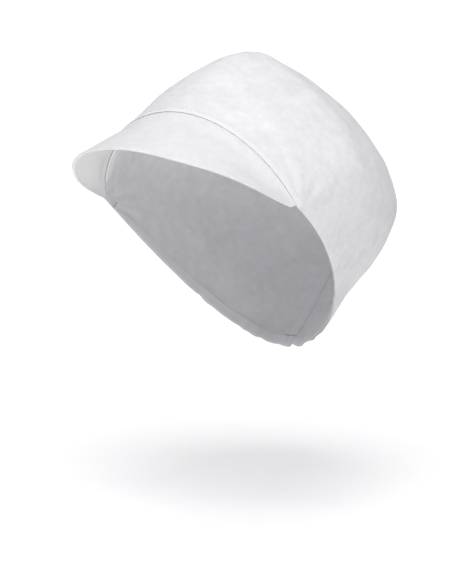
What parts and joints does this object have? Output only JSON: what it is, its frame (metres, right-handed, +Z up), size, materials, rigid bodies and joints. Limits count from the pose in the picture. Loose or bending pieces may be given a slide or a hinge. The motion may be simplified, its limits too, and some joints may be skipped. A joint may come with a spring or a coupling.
{
  "type": "soft peaked cap",
  "caption": "Soft white non-woven peaked cap: one-panel crown gathered by elastic at the nape, with a stiffened peak on a curved seam.",
  "frame": {"origin": "middle of the wearer's head, level with the temples", "axes": "+X to the wearer's left, -Y to the front, where the peak is, +Z up"},
  "size_m": [0.1884, 0.2982, 0.212],
  "materials": {
    "crown_cloth": "soft matt spunbond non-woven, white with a cool tint in shade",
    "binding_cloth": "soft matt spunbond non-woven, folded",
    "sweatband_cloth": "soft brushed non-woven",
    "casing_cloth": "soft matt spunbond non-woven",
    "elastic": "flat woven elastic, matt off-white",
    "thread": "spun polyester thread",
    "peak_cloth": "smooth matt non-woven stretched over a board",
    "under_cloth": "smooth matt non-woven",
    "stiffener_board": "thin flexible board"
  },
  "bodies": {
    "crown": {"crown_panel": "crown_cloth", "seam_binding": "binding_cloth", "forehead_sweatband": "sweatband_cloth", "edge_casing": "casing_cloth", "nape_elastic": "elastic", "back_seam_tape": "casing_cloth", "back_seam_thread": "thread", "peak_seam_thread": "thread", "casing_thread": "thread", "sweatband_thread": "thread", "left_bartack": "thread", "right_bartack": "thread"},
    "peak": {"peak_top_cover": "peak_cloth", "peak_stiffener": "stiffener_board", "peak_under_cover": "under_cloth"}
  },
  "joints": [
    {"name": "peak_tilt", "type": "hinge", "parent": "crown", "child": "peak", "pos_m": [0, -0.0385, 0.007], "axis": [1, 0, 0], "range_deg": [-3, 15], "stiffness_Nm_per_rad": 0.25}
  ]
}
